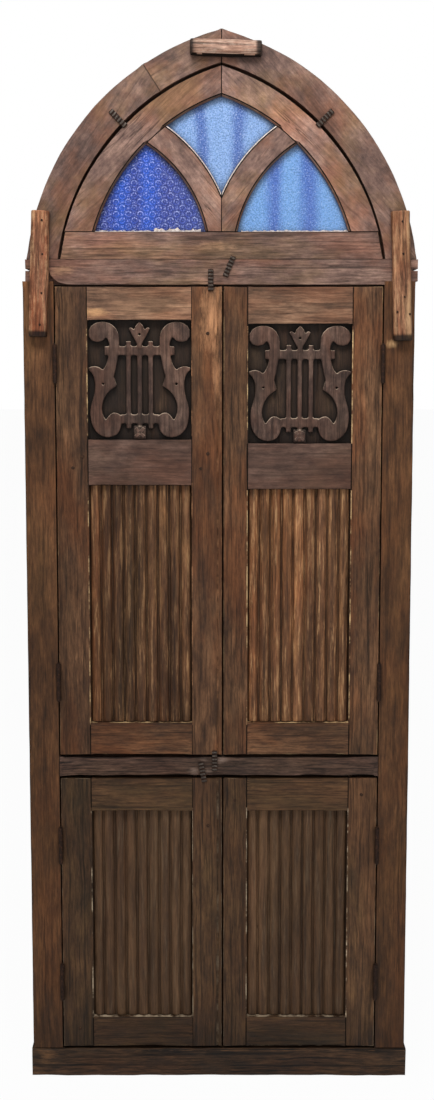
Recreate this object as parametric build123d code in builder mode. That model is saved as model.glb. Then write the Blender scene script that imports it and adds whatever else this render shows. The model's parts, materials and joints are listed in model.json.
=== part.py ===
from build123d import *
import os
from math import cos, pi, radians, sin, sqrt

# Wooden window with a pointed arch: a frame, a glazed fanlight with curved mullions,
# two upper leaves with lyre and reeded panels, and two lower leaves with reeded panels.
# Lengths are millimetres and angles are degrees. The origin is the middle of the sill's
# underside, X runs to the right, Y runs back through the window and Z runs up.

# Frame
frame_width = 912.0
frame_depth = 95.0
jamb_face = 72.0
arch_face = 73.0
arch_rise = 588.0
springing_drop = 70.0
arch_joint_angle = 123.0
# The arch, its glazing and the head transom stand a little right of the jambs' middle.
head_shift = 6.0
stop_width = 12.0

# Sill and transoms
sill_overhang = 5.0
sill_height = 71.0
sill_nosing = 6.0
sill_bevel = 5.0
jamb_tenon_length = 30.0
jamb_tenon_width = 36.0
jamb_tenon_thickness = 30.0
mid_transom_height = 50.0
mid_tenon_height = 40.0
mid_tenon_thickness = 32.0
mid_tenon_proud = 4.0
meeting_post_width = 40.0
meeting_post_depth = 24.0
transom_height = 58.0
transom_inset = 1.0
transom_end_height = 50.0
transom_slit_height = 4.0
transom_slit_depth = 12.0
transom_slit_rise = 24.0
# The lower left corner of the head transom is worn round.
worn_end_reach = 50.0
worn_end_lap = 11.0
worn_end_rise = 40.0
worn_end_depth = 16.0

# Cleats nailed across the joints
cleat_thickness = 26.0
cleat_tilt = 2.0
side_cleat_width = 45.0
side_cleat_bevel = 6.0
left_cleat_length = 290.0
left_cleat_inset = 41.0
left_cleat_drop = 34.0
right_cleat_length = 298.0
right_cleat_inset = 34.0
right_cleat_drop = 39.0
top_cleat_length = 168.0
top_cleat_height = 42.0
top_cleat_drop = 45.0
top_cleat_shift = 10.0
top_cleat_bevel = 11.0
top_cleat_tilt = 1.5

# Fanlight
fan_thickness = 40.0
fan_gap = 5.0
rib_face = 65.0
fan_rail_height = 63.0
mullion_face = 62.0
mullion_inner_radius = 308.0
mullion_foot_half = 30.0
glass_setback = 16.0
glass_thickness = 4.0
glass_lap = 8.0
glass_clearance = 0.3
putty_depth = 12.0

# Leaves
leaf_thickness = 36.0
leaf_proud = 0.5
leaf_side_gap = 3.0
leaf_end_gap = 4.0
meeting_gap = 4.0
meeting_shift = 9.0
meeting_bevel = 2.0
bead_width = 10.0
bead_quirk = 2.0
hinge_stile_left = 74.0
hinge_stile_right = 70.0
meeting_stile_left = 71.0
meeting_stile_right = 57.0
upper_leaf_height = 1111.0
upper_top_rail_left = 77.0
upper_top_rail_right = 86.0
upper_bottom_rail = 79.0
lock_rail = 108.0
lyre_opening = 277.0
lower_leaf_height = 676.0
lower_top_rail = 81.0
lower_bottom_rail = 76.0

# Panels in their grooves
groove_width = 10.0
groove_depth = 10.0
groove_setback = 18.0
panel_clearance = 0.2
tenon_length = 42.0
reed_count = 9
reed_height = 9.0
reed_valley = 2.0
reed_facets = 8
lyre_relief = 13.0
lyre_string_relief = 9.0
lyre_bar_relief = 10.5
lyre_eye_radius = 5.0
finial_eye_radius = 3.0
lyre_bar_height = 21.0
lyre_string_width = 12.0
lyre_string_spacing = 26.0
lyre_peg_length = 12.0
rosette_radius = 14.5
lyre_facets = 2

# Butt hinges
hinge_length = 89.0
hinge_flap_depth = 30.0
hinge_flap_gap = 0.2
knuckle_radius = 5.0
knuckle_clearance = 0.4
knuckle_count = 3
pin_radius = 2.4
pin_clearance = 0.1
pin_proud = 3.0
barrel_facets = 12
bore_facets = 8
upper_hinge_inset = 178.0
lower_hinge_inset = 166.0

# Ribbed iron straps
strap_length = 50.0
strap_width = 12.0
strap_thickness = 2.0
strap_rib_height = 1.6
strap_rib_count = 6
strap_lap = 10.0
fan_strap_angle = 45.0
fan_strap_outset = 17.0
foot_strap_offset = 18.0
foot_strap_drop = 16.0
foot_strap_tilt = 23.0
upper_top_strap_inset = 26.0
upper_bottom_strap_inset = 17.0
lower_strap_inset = 46.0
lower_strap_tilt = 10.0

# Outline of one side of the lyre, as shares of half the panel opening's width and of its height
lyre_arm_shares = (
    (0.494, 0.527), (0.436, 0.635), (0.395, 0.758), (0.387, 0.859), (0.494, 0.953), (0.716, 0.989),
    (0.922, 0.953), (0.985, 0.892), (0.922, 0.830), (0.815, 0.816), (0.634, 0.859),
)
lyre_waist_shares = ((0.634, 0.859), (0.576, 0.780), (0.601, 0.693), (0.650, 0.621), (0.708, 0.585))
lyre_leaf_shares = ((0.708, 0.585), (0.831, 0.614), (0.985, 0.603))
lyre_back_shares = (
    (0.985, 0.585), (0.889, 0.534), (0.864, 0.469), (0.889, 0.361), (0.947, 0.274), (0.955, 0.195),
    (0.897, 0.094), (0.749, 0.029), (0.584, 0.014), (0.436, 0.043), (0.362, 0.108), (0.354, 0.144),
)
lyre_curl_shares = ((0.354, 0.191), (0.420, 0.217), (0.519, 0.224), (0.601, 0.195), (0.658, 0.159))
lyre_belly_shares = (
    (0.658, 0.159), (0.700, 0.195), (0.724, 0.253), (0.700, 0.325), (0.601, 0.397), (0.436, 0.448),
)
lyre_finial_shares = (
    (0.041, 0.765), (0.049, 0.803), (0.104, 0.846), (0.158, 0.890), (0.208, 0.930), (0.160, 0.942),
    (0.092, 0.917), (0.078, 0.950), (0.0, 0.988),
)
lyre_upper_bar_share = 0.744
lyre_lower_bar_share = 0.171
lyre_upper_bar_reach_share = 0.675
lyre_lower_bar_reach_share = 0.360
lyre_eye_shares = (0.708, 0.466)
finial_eye_share = 0.882
rosette_share = 0.060

# Levels and reaches worked out from the sizes above
front = -frame_depth / 2
half_width = frame_width / 2
sill_half = half_width + sill_overhang
transom_half = half_width - transom_inset
opening_half = half_width - jamb_face
lower_leaf_bottom = sill_height + leaf_end_gap
lower_leaf_top = lower_leaf_bottom + lower_leaf_height
mid_transom_bottom = lower_leaf_top + leaf_end_gap
mid_transom_top = mid_transom_bottom + mid_transom_height
upper_leaf_bottom = mid_transom_top + leaf_end_gap
upper_leaf_top = upper_leaf_bottom + upper_leaf_height
transom_bottom = upper_leaf_top + leaf_end_gap
transom_top = transom_bottom + transom_height
jamb_top = transom_top - transom_end_height
springing = transom_top - springing_drop
arch_radius = (half_width**2 + arch_rise**2) / (2 * half_width)
arch_apex = springing + arch_rise
rib_outer_radius = arch_radius - arch_face - fan_gap
rib_inner_radius = rib_outer_radius - rib_face
fan_rail_top = transom_top + fan_rail_height
mullion_outer_radius = mullion_inner_radius + mullion_face
mullion_offset = mullion_inner_radius + mullion_foot_half
groove_back = groove_setback + groove_width
panel_front = groove_setback + panel_clearance
panel_back = groove_back - panel_clearance
panel_tongue = groove_depth - panel_clearance
reach = 2 * arch_radius
# The mid transom's tenon runs through the middle of the jamb's deep part.
mid_tenon_y = leaf_thickness / 2
mid_tenon_z = (mid_transom_bottom + mid_transom_top) / 2
leaf_front = front - leaf_proud
hinge_axis_y = leaf_front - knuckle_radius - knuckle_clearance
hinge_axis_x = opening_half - leaf_side_gap / 2


# Planes and small helpers

def depth_plane(depth):
    # A plane that faces the viewer, the given depth behind the frame's front.
    return Plane.XZ.offset(-front - depth)


def leaf_plane(depth):
    # A plane that faces the viewer, the given depth behind the leaves' front.
    return Plane.XZ.offset(-leaf_front - depth)


def block(x_range, y_range, z_range, mode=Mode.ADD):
    # A rectangular block between two places along each axis, inside the current part.
    spans = (x_range, y_range, z_range)
    middle = tuple((low + high) / 2 for low, high in spans)
    sizes = tuple(abs(high - low) for low, high in spans)
    with Locations(middle):
        Box(*sizes, mode=mode)


def sided(side, near, far):
    # An X range from near to far on the left (-1) or right (1) side.
    return tuple(sorted((side * near, side * far)))


def arch_centre(side):
    return (head_shift + side * (half_width - arch_radius), springing)


def mullion_centre(side):
    return (head_shift + side * mullion_offset, transom_top)


def arch_half_reach(inset, level):
    # How far an arch line, inset from the outer edge, stands from the arch's middle at a level.
    return sqrt((arch_radius - inset) ** 2 - (level - springing) ** 2) - (arch_radius - half_width)


def write(builder, name):
    builder.part.label = name
    export_step(builder.part, f"parts/{name}.step")


# Frame

def arch_band(side, outer_inset, inner_inset, level):
    # One side of the arch between two concentric lines, above a level, in the current sketch.
    with Locations(arch_centre(side)):
        Circle(arch_radius - outer_inset)
        Circle(arch_radius - inner_inset, mode=Mode.SUBTRACT)
    with Locations((head_shift, level)):
        Rectangle(
            reach, reach, align=(Align.MIN if side > 0 else Align.MAX, Align.MIN), mode=Mode.INTERSECT
        )


def make_arch_piece(side, name, keep=None):
    with BuildPart() as arch:
        with BuildSketch(depth_plane(frame_depth)):
            arch_band(side, 0, arch_face, transom_top)
        extrude(amount=frame_depth)
        with BuildSketch(depth_plane(frame_depth)):
            arch_band(side, arch_face, arch_face + stop_width, transom_top)
        extrude(amount=frame_depth - fan_thickness)
        if keep is not None:
            centre_x, centre_z = arch_centre(side)
            angle = radians(arch_joint_angle)
            cut = Plane(origin=(centre_x, 0, centre_z), x_dir=(0, 1, 0), z_dir=(-sin(angle), 0, cos(angle)))
            split(bisect_by=cut, keep=keep)
    write(arch, name)


def make_jamb(side, name):
    stop_front = front + leaf_thickness
    with BuildPart() as jamb:
        with BuildSketch(Plane.XY.offset(sill_height)):
            with BuildLine():
                Polyline(
                    (side * half_width, front), (side * opening_half, front),
                    (side * opening_half, stop_front), (side * (opening_half - stop_width), stop_front),
                    (side * (opening_half - stop_width), -front), (side * half_width, -front), close=True,
                )
            make_face()
        extrude(amount=jamb_top - sill_height)
        with BuildSketch(Plane.XY.offset(sill_height)):
            with Locations((side * (half_width - jamb_face / 2), 0)):
                Rectangle(jamb_tenon_width, jamb_tenon_thickness)
        extrude(amount=-jamb_tenon_length)
        block(
            sided(side, opening_half - stop_width, half_width),
            (mid_tenon_y - mid_tenon_thickness / 2, mid_tenon_y + mid_tenon_thickness / 2),
            (mid_tenon_z - mid_tenon_height / 2, mid_tenon_z + mid_tenon_height / 2),
            mode=Mode.SUBTRACT,
        )
    write(jamb, name)


def make_sill():
    nose = front - sill_nosing
    with BuildPart() as sill:
        with BuildSketch(Plane.YZ.offset(-sill_half)):
            with BuildLine():
                Polyline(
                    (nose, 0), (-front, 0), (-front, sill_height), (front, sill_height),
                    (nose + sill_bevel, sill_height), (nose, sill_height - sill_bevel), close=True,
                )
            make_face()
        extrude(amount=2 * sill_half)
        block(
            (stop_width - opening_half, opening_half - stop_width), (front + leaf_thickness, -front),
            (sill_height, sill_height + stop_width),
        )
        for side in (-1, 1):
            middle = side * (half_width - jamb_face / 2)
            block(
                (middle - jamb_tenon_width / 2, middle + jamb_tenon_width / 2),
                (-jamb_tenon_thickness / 2, jamb_tenon_thickness / 2),
                (sill_height - jamb_tenon_length, sill_height), mode=Mode.SUBTRACT,
            )
    write(sill, "sill")


def make_mid_transom():
    stop_front = front + leaf_thickness
    inner = opening_half - stop_width
    with BuildPart() as rail:
        with BuildSketch(Plane.YZ.offset(-inner)):
            with BuildLine():
                Polyline(
                    (front, mid_transom_bottom), (stop_front, mid_transom_bottom),
                    (stop_front, mid_transom_bottom - stop_width), (-front, mid_transom_bottom - stop_width),
                    (-front, mid_transom_top + stop_width), (stop_front, mid_transom_top + stop_width),
                    (stop_front, mid_transom_top), (front, mid_transom_top), close=True,
                )
            make_face()
        extrude(amount=2 * inner)
        block((-opening_half, opening_half), (front, stop_front), (mid_transom_bottom, mid_transom_top))
        tenon_reach = half_width + mid_tenon_proud
        block(
            (-tenon_reach, tenon_reach),
            (mid_tenon_y - mid_tenon_thickness / 2, mid_tenon_y + mid_tenon_thickness / 2),
            (mid_tenon_z - mid_tenon_height / 2, mid_tenon_z + mid_tenon_height / 2),
        )
    write(rail, "mid_transom")


def make_meeting_post(name, z_range):
    # A post behind the line where two leaves meet, from one stop up to the next.
    low = meeting_shift - meeting_post_width / 2
    stop_front = front + leaf_thickness
    with BuildPart() as post:
        block((low, low + meeting_post_width), (stop_front, stop_front + meeting_post_depth), z_range)
    write(post, name)


def make_transom():
    stop_front = front + leaf_thickness
    fan_stop_front = front + fan_thickness
    inner = opening_half - stop_width
    fan_stop_reach = arch_half_reach(arch_face + stop_width, transom_top + stop_width)
    with BuildPart() as transom:
        block((-opening_half, opening_half), (front, stop_front), (transom_bottom, transom_top))
        block((-inner, inner), (stop_front, -front), (transom_bottom - stop_width, transom_top))
        block(
            (head_shift - transom_half, head_shift + transom_half), (front, -front), (jamb_top, transom_top),
        )
        block(
            (head_shift - fan_stop_reach, head_shift + fan_stop_reach), (fan_stop_front, -front),
            (transom_top, transom_top + stop_width),
        )
        for side in (-1, 1):
            end = head_shift + side * transom_half
            block(
                (end, end - side * transom_slit_depth), (front, -front),
                (jamb_top + transom_slit_rise, jamb_top + transom_slit_rise + transom_slit_height),
                mode=Mode.SUBTRACT,
            )
        worn_corner = (worn_end_reach - worn_end_lap - opening_half, transom_bottom + worn_end_rise)
        with BuildSketch(depth_plane(worn_end_depth)):
            with Locations(worn_corner):
                Rectangle(worn_end_reach, worn_end_rise, align=(Align.MAX, Align.MAX))
                Ellipse(worn_end_reach, worn_end_rise, mode=Mode.SUBTRACT)
        extrude(amount=worn_end_depth, mode=Mode.SUBTRACT)
    write(transom, "transom")


def make_cleat(name, centre, length, width, bevel, tilt):
    # A bar with its front edges bevelled, laid flat on the frame's front and turned by tilt.
    with BuildPart() as cleat:
        plane = Plane(depth_plane(0) * Location((centre[0], centre[1], 0), (0, 0, tilt)))
        with BuildSketch(plane):
            Rectangle(width, length)
        extrude(amount=cleat_thickness)
        front_face = cleat.faces().sort_by(Axis.Y)[0]
        chamfer(front_face.edges().sort_by(SortBy.LENGTH)[-2:], length=bevel)
    write(cleat, name)


# Fanlight

def side_light(side, margin):
    # The outline of a side light, grown by a margin, in the current sketch.
    with Locations(arch_centre(side)):
        Circle(rib_inner_radius + margin)
    with Locations(mullion_centre(side)):
        Circle(mullion_inner_radius + margin, mode=Mode.INTERSECT)
    with Locations((head_shift, fan_rail_top - margin)):
        Rectangle(reach, reach, align=(Align.CENTER, Align.MIN), mode=Mode.INTERSECT)


def centre_light(margin):
    # The outline of the middle light, grown by a margin, in the current sketch.
    with Locations(arch_centre(-1)):
        Circle(rib_inner_radius + margin)
    with Locations(arch_centre(1)):
        Circle(rib_inner_radius + margin, mode=Mode.INTERSECT)
    for side in (-1, 1):
        with Locations(mullion_centre(side)):
            Circle(mullion_outer_radius - margin, mode=Mode.SUBTRACT)
    with Locations((head_shift, fan_rail_top)):
        Rectangle(reach, reach, align=(Align.CENTER, Align.MIN), mode=Mode.INTERSECT)


def light_outline(which, margin):
    if which == 0:
        centre_light(margin)
    else:
        side_light(which, margin)


def cut_glass_rebates():
    # The rebates that hold the panes, cut from the back of the current part.
    for which in (-1, 0, 1):
        with BuildSketch(depth_plane(fan_thickness)) as rebate:
            light_outline(which, glass_lap)
        extrude(rebate.sketch, amount=fan_thickness - glass_setback, mode=Mode.SUBTRACT)


def make_fan_rib(side, name):
    with BuildPart() as rib:
        with BuildSketch(depth_plane(fan_thickness)):
            arch_band(side, arch_radius - rib_outer_radius, arch_radius - rib_inner_radius, fan_rail_top)
        extrude(amount=fan_thickness)
        cut_glass_rebates()
    write(rib, name)


def make_fan_rail():
    with BuildPart() as rail:
        with BuildSketch(depth_plane(fan_thickness)):
            with Locations((head_shift, transom_top)):
                Rectangle(reach, fan_rail_height, align=(Align.CENTER, Align.MIN))
            for side in (-1, 1):
                with Locations(arch_centre(side)):
                    Circle(rib_outer_radius, mode=Mode.INTERSECT)
        extrude(amount=fan_thickness)
        cut_glass_rebates()
    write(rail, "fanlight_rail")


def make_mullion(side, name):
    with BuildPart() as mullion:
        with BuildSketch(depth_plane(fan_thickness)):
            with Locations(mullion_centre(side)):
                Circle(mullion_outer_radius)
                Circle(mullion_inner_radius, mode=Mode.SUBTRACT)
            with Locations(arch_centre(side)):
                Circle(rib_inner_radius, mode=Mode.INTERSECT)
            with Locations((head_shift, fan_rail_top)):
                Rectangle(
                    reach, reach, align=(Align.MIN if side > 0 else Align.MAX, Align.MIN),
                    mode=Mode.INTERSECT,
                )
        extrude(amount=fan_thickness)
        cut_glass_rebates()
    write(mullion, name)


def make_pane(which, name):
    with BuildPart() as pane:
        with BuildSketch(depth_plane(glass_setback + glass_thickness)):
            light_outline(which, glass_lap - glass_clearance)
        extrude(amount=glass_thickness)
    write(pane, name)


def make_putty(which, name):
    back = glass_setback + glass_thickness + putty_depth
    with BuildPart() as putty:
        with BuildSketch(depth_plane(back)):
            light_outline(which, glass_lap - glass_clearance)
        extrude(amount=putty_depth)
        with BuildSketch(depth_plane(back)):
            light_outline(which, 0)
        extrude(amount=putty_depth, mode=Mode.SUBTRACT)
    write(putty, name)


# Leaves

def make_stile(leaf, name, x_range, groove_side, bevel, bead, rails):
    # A stile with its panel groove on one side, a mortise for each rail, and a bead along its free
    # edge where there is one.
    low, high = x_range
    back = leaf_front + leaf_thickness
    bevel_low = bevel if groove_side > 0 else 0
    bevel_high = bevel if groove_side < 0 else 0
    edge = high if groove_side > 0 else low
    with BuildPart() as stile:
        with BuildSketch(Plane.XY.offset(leaf["bottom"])):
            with BuildLine():
                Polyline(
                    (low, leaf_front), (high, leaf_front), (high - bevel_high, back), (low + bevel_low, back),
                    close=True,
                )
            make_face()
            with Locations((edge, leaf_front + groove_setback + groove_width / 2)):
                Rectangle(2 * groove_depth, groove_width, mode=Mode.SUBTRACT)
            if bead:
                free_edge = low if groove_side > 0 else high
                with Locations((free_edge + groove_side * bead, leaf_front)):
                    Rectangle(bead_quirk, 2 * bead_quirk, mode=Mode.SUBTRACT)
        extrude(amount=leaf["top"] - leaf["bottom"])
        for rail_bottom, rail_top in rails:
            block(
                (edge, edge - groove_side * tenon_length),
                (leaf_front + groove_setback, leaf_front + groove_back),
                (rail_bottom + groove_depth, rail_top - groove_depth), mode=Mode.SUBTRACT,
            )
    write(stile, name)


def make_rail(name, x_range, z_range, groove_above, groove_below):
    # A rail with a tenon at each end and a groove along each edge that meets a panel.
    low, high = x_range
    bottom, top = z_range
    groove_y = (leaf_front + groove_setback, leaf_front + groove_back)
    with BuildPart() as rail:
        block(x_range, (leaf_front, leaf_front + leaf_thickness), z_range)
        block(
            (low - tenon_length, high + tenon_length), groove_y, (bottom + groove_depth, top - groove_depth),
        )
        if groove_above:
            block(x_range, groove_y, (top - groove_depth, top), mode=Mode.SUBTRACT)
        if groove_below:
            block(x_range, groove_y, (bottom, bottom + groove_depth), mode=Mode.SUBTRACT)
    write(rail, name)


def panel_board(x_range, z_range):
    # The plain board of a panel, with its edges in the grooves, in the current part.
    block(
        (x_range[0] - panel_tongue, x_range[1] + panel_tongue),
        (leaf_front + panel_front, leaf_front + panel_back),
        (z_range[0] - panel_tongue, z_range[1] + panel_tongue),
    )


def make_reeded_panel(name, x_range, z_range):
    # A board with upright rounded reeds side by side over its whole opening.
    low, high = x_range
    pitch = (high - low) / reed_count
    face = leaf_front + panel_front
    half = (pitch - reed_valley) / 2
    turns = [pi * index / reed_facets for index in range(reed_facets + 1)]
    with BuildPart() as panel:
        panel_board(x_range, z_range)
        with BuildSketch(Plane.XY.offset(z_range[0])):
            for index in range(reed_count):
                middle = low + (index + 1 / 2) * pitch
                with BuildLine():
                    Polyline(
                        *[(middle - half * cos(turn), face - reed_height * sin(turn)) for turn in turns],
                        close=True,
                    )
                make_face()
        extrude(amount=z_range[1] - z_range[0])
    write(panel, name)


def make_lyre_panel(name, x_range, z_range):
    with BuildPart() as panel:
        panel_board(x_range, z_range)
    write(panel, name)


def make_lyre(name, x_range, z_range):
    # A carved lyre: two scrolled arms, two bars, three strings, a finial and a rosette.
    centre = (x_range[0] + x_range[1]) / 2
    half = (x_range[1] - x_range[0]) / 2
    bottom, top = z_range
    height = top - bottom

    def spot(share, side=1):
        return (centre + side * share[0] * half, bottom + share[1] * height)

    def curve(shares, side):
        # Short straight facets along a smooth curve through the given places.
        smooth = Spline(*[spot(share, side) for share in shares], mode=Mode.PRIVATE)
        count = lyre_facets * (len(shares) - 1)
        return Polyline(*[smooth @ (index / count) for index in range(count + 1)])

    upper_bar = spot((0, lyre_upper_bar_share))
    lower_bar = spot((0, lyre_lower_bar_share))
    board = leaf_plane(panel_front)
    with BuildPart() as lyre:
        with BuildSketch(board):
            for side in (-1, 1):
                with BuildLine():
                    curve(lyre_arm_shares, side)
                    curve(lyre_waist_shares, side)
                    curve(lyre_leaf_shares, side)
                    Line(spot(lyre_leaf_shares[-1], side), spot(lyre_back_shares[0], side))
                    curve(lyre_back_shares, side)
                    Line(spot(lyre_back_shares[-1], side), spot(lyre_curl_shares[0], side))
                    curve(lyre_curl_shares, side)
                    curve(lyre_belly_shares, side)
                    Line(spot(lyre_belly_shares[-1], side), spot(lyre_arm_shares[0], side))
                make_face()
                with Locations(spot(lyre_eye_shares, side)):
                    RegularPolygon(lyre_eye_radius, 3, mode=Mode.SUBTRACT)
        extrude(amount=lyre_relief)
        with BuildSketch(board):
            for side in (-1, 1):
                with BuildLine():
                    edge = Polyline(*[spot(share, side) for share in lyre_finial_shares])
                    Polyline(edge @ 0, (centre, (edge @ 0).Y), edge @ 1)
                make_face()
            with Locations(spot((0, finial_eye_share))):
                Circle(finial_eye_radius, mode=Mode.SUBTRACT)
        extrude(amount=lyre_relief)
        with BuildSketch(board):
            with Locations(upper_bar):
                Rectangle(2 * lyre_upper_bar_reach_share * half, lyre_bar_height)
            with Locations(lower_bar):
                Rectangle(2 * lyre_lower_bar_reach_share * half, lyre_bar_height)
        extrude(amount=lyre_bar_relief)
        string_bottom = lower_bar[1] - lyre_bar_height / 2 - lyre_peg_length
        string_top = upper_bar[1] + lyre_bar_height / 2 + lyre_peg_length
        with BuildSketch(board):
            for offset in (-lyre_string_spacing, 0, lyre_string_spacing):
                with Locations((centre + offset, (string_bottom + string_top) / 2)):
                    Rectangle(lyre_string_width, string_top - string_bottom)
        extrude(amount=lyre_string_relief)
        with BuildSketch(board):
            with Locations(spot((0, rosette_share))):
                RegularPolygon(rosette_radius, 8)
        extrude(amount=lyre_relief)
    write(lyre, name)


# Hinges

def knuckle_spans(owner):
    # The Z spans, from the hinge's middle, of the knuckles that the frame (0) or the leaf (1) carries.
    step = hinge_length / knuckle_count
    spans = []
    for index in range(owner, knuckle_count, 2):
        low = index * step - hinge_length / 2
        spans.append((low + knuckle_clearance / 2, low + step - knuckle_clearance / 2))
    return spans


def make_hinge_flaps(name, owner, places):
    # Hinge flaps on the jamb edges (owner 0) or on the leaf edges (owner 1), with their knuckles.
    flap_thickness = (leaf_side_gap - hinge_flap_gap) / 2
    outward = 1 if owner == 0 else -1
    inner = hinge_axis_x + outward * hinge_flap_gap / 2
    with BuildPart() as flaps:
        for side, middle in places:
            flap_x = sided(side, inner, inner + outward * flap_thickness)
            block(
                flap_x, (leaf_front, leaf_front + hinge_flap_depth),
                (middle - hinge_length / 2, middle + hinge_length / 2),
            )
            for low, high in knuckle_spans(owner):
                with BuildSketch(Plane.XY.offset(middle + low)):
                    with Locations((side * hinge_axis_x, hinge_axis_y)):
                        RegularPolygon(knuckle_radius, barrel_facets)
                    with Locations(((flap_x[0] + flap_x[1]) / 2, hinge_axis_y)):
                        Rectangle(
                            flap_thickness, leaf_front - hinge_axis_y, align=(Align.CENTER, Align.MIN)
                        )
                    with Locations((side * hinge_axis_x, hinge_axis_y)):
                        RegularPolygon(
                            pin_radius + pin_clearance, bore_facets, major_radius=False, mode=Mode.SUBTRACT
                        )
                extrude(amount=high - low)
    write(flaps, name)


def make_hinge_pins(places):
    with BuildPart() as pins:
        for side, middle in places:
            with Locations((side * hinge_axis_x, hinge_axis_y, middle)):
                Cylinder(pin_radius, hinge_length + 2 * pin_proud)
    write(pins, "hinge_pins")


# Straps

def make_straps(name, base, places):
    # Ribbed iron straps lying on the plane base, each at a place and turned by an angle from upright.
    pitch = strap_length / strap_rib_count
    with BuildPart() as straps:
        for x, z, turn in places:
            plane = Plane(base * Location((x, z, 0), (0, 0, turn)))
            with BuildSketch(plane):
                Rectangle(strap_width, strap_length)
            extrude(amount=strap_thickness)
            with BuildSketch(plane.offset(strap_thickness)):
                for index in range(strap_rib_count):
                    with Locations((0, (index + 1 / 2) * pitch - strap_length / 2)):
                        Rectangle(strap_width, pitch / 2)
            extrude(amount=strap_rib_height)
    write(straps, name)


os.makedirs("parts", exist_ok=True)

make_jamb(-1, "left_jamb")
make_jamb(1, "right_jamb")
make_sill()
make_mid_transom()
make_transom()
make_meeting_post("lower_meeting_post", (sill_height + stop_width, mid_transom_bottom - stop_width))
make_meeting_post("upper_meeting_post", (mid_transom_top + stop_width, transom_bottom - stop_width))
make_arch_piece(-1, "arch_left_lower", Keep.TOP)
make_arch_piece(-1, "arch_left_upper", Keep.BOTTOM)
make_arch_piece(1, "arch_right")

make_cleat(
    "cleat_left", (left_cleat_inset - half_width, transom_top - left_cleat_drop), left_cleat_length,
    side_cleat_width, side_cleat_bevel, -cleat_tilt,
)
make_cleat(
    "cleat_right", (half_width - right_cleat_inset, transom_top - right_cleat_drop), right_cleat_length,
    side_cleat_width, side_cleat_bevel, cleat_tilt,
)
make_cleat(
    "cleat_top", (head_shift + top_cleat_shift, arch_apex - top_cleat_drop), top_cleat_length,
    top_cleat_height, top_cleat_bevel, -90 - top_cleat_tilt,
)

make_fan_rail()
for side, word in ((-1, "left"), (1, "right")):
    make_fan_rib(side, f"fanlight_rib_{word}")
    make_mullion(side, f"fanlight_mullion_{word}")
for which, word in ((-1, "left"), (0, "centre"), (1, "right")):
    make_pane(which, f"glass_{word}")
    make_putty(which, f"putty_{word}")

leaves = (
    {"name": "upper_left", "side": -1, "bottom": upper_leaf_bottom, "top": upper_leaf_top},
    {"name": "upper_right", "side": 1, "bottom": upper_leaf_bottom, "top": upper_leaf_top},
    {"name": "lower_left", "side": -1, "bottom": lower_leaf_bottom, "top": lower_leaf_top},
    {"name": "lower_right", "side": 1, "bottom": lower_leaf_bottom, "top": lower_leaf_top},
)
frame_hinges = []
for leaf in leaves:
    side = leaf["side"]
    bottom = leaf["bottom"]
    top = leaf["top"]
    upper = leaf["name"].startswith("upper")
    hinge_edge = side * (opening_half - leaf_side_gap)
    meeting_edge = meeting_shift + side * meeting_gap / 2
    hinge_stile = hinge_stile_left if side < 0 else hinge_stile_right
    meeting_stile = meeting_stile_left if side < 0 else meeting_stile_right
    hinge_inner = hinge_edge - side * hinge_stile
    meeting_inner = meeting_edge + side * meeting_stile
    opening = tuple(sorted((hinge_inner, meeting_inner)))
    if upper:
        lyre_top = top - (upper_top_rail_left if side < 0 else upper_top_rail_right)
        lyre_bottom = lyre_top - lyre_opening
        reed_top = lyre_bottom - lock_rail
        reed_bottom = bottom + upper_bottom_rail
        rails = (
            ("bottom_rail", (bottom, reed_bottom)), ("lock_rail", (reed_top, lyre_bottom)),
            ("top_rail", (lyre_top, top)),
        )
    else:
        reed_bottom = bottom + lower_bottom_rail
        reed_top = top - lower_top_rail
        rails = (("bottom_rail", (bottom, reed_bottom)), ("top_rail", (reed_top, top)))
    spans = [span for _, span in rails]
    make_stile(
        leaf, f"{leaf['name']}_hinge_stile", tuple(sorted((hinge_edge, hinge_inner))), -side, 0, 0, spans
    )
    make_stile(
        leaf, f"{leaf['name']}_meeting_stile", tuple(sorted((meeting_edge, meeting_inner))), side,
        meeting_bevel, bead_width if side < 0 else 0, spans,
    )
    for word, span in rails:
        make_rail(f"{leaf['name']}_{word}", opening, span, word != "top_rail", word != "bottom_rail")
    make_reeded_panel(f"{leaf['name']}_reeded_panel", opening, (reed_bottom, reed_top))
    if upper:
        make_lyre_panel(f"{leaf['name']}_lyre_panel", opening, (lyre_bottom, lyre_top))
        make_lyre(f"{leaf['name']}_lyre", opening, (lyre_bottom, lyre_top))
    inset = upper_hinge_inset if upper else lower_hinge_inset
    places = [(side, bottom + inset), (side, top - inset)]
    make_hinge_flaps(f"{leaf['name']}_hinge_flaps", 1, places)
    frame_hinges.extend(places)
make_hinge_flaps("hinge_frame_flaps", 0, frame_hinges)
make_hinge_pins(frame_hinges)

gap_radius = arch_radius - arch_face - fan_gap / 2 + fan_strap_outset
fan_straps = []
for side in (-1, 1):
    centre_x, centre_z = arch_centre(side)
    fan_straps.append((
        centre_x + side * gap_radius * cos(radians(fan_strap_angle)),
        centre_z + gap_radius * sin(radians(fan_strap_angle)), -side * fan_strap_angle,
    ))
fan_straps.append((head_shift + foot_strap_offset, transom_top - foot_strap_drop, -foot_strap_tilt))
make_straps("fanlight_straps", depth_plane(0), fan_straps)
left_meeting_edge = meeting_shift - meeting_gap / 2
make_straps("upper_left_straps", leaf_plane(0), (
    (left_meeting_edge - upper_top_strap_inset, upper_leaf_top - strap_lap + strap_length / 2, 0),
    (left_meeting_edge - upper_bottom_strap_inset, upper_leaf_bottom + strap_lap - strap_length / 2, 0),
))
make_straps("lower_left_strap", leaf_plane(0), (
    (left_meeting_edge - lower_strap_inset, lower_leaf_top - strap_lap + strap_length / 2, lower_strap_tilt),
))
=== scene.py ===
import json
from functools import partial
from math import cos, hypot, pi, radians, sin

import bmesh
import bpy
from mathutils import Matrix, Vector

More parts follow.
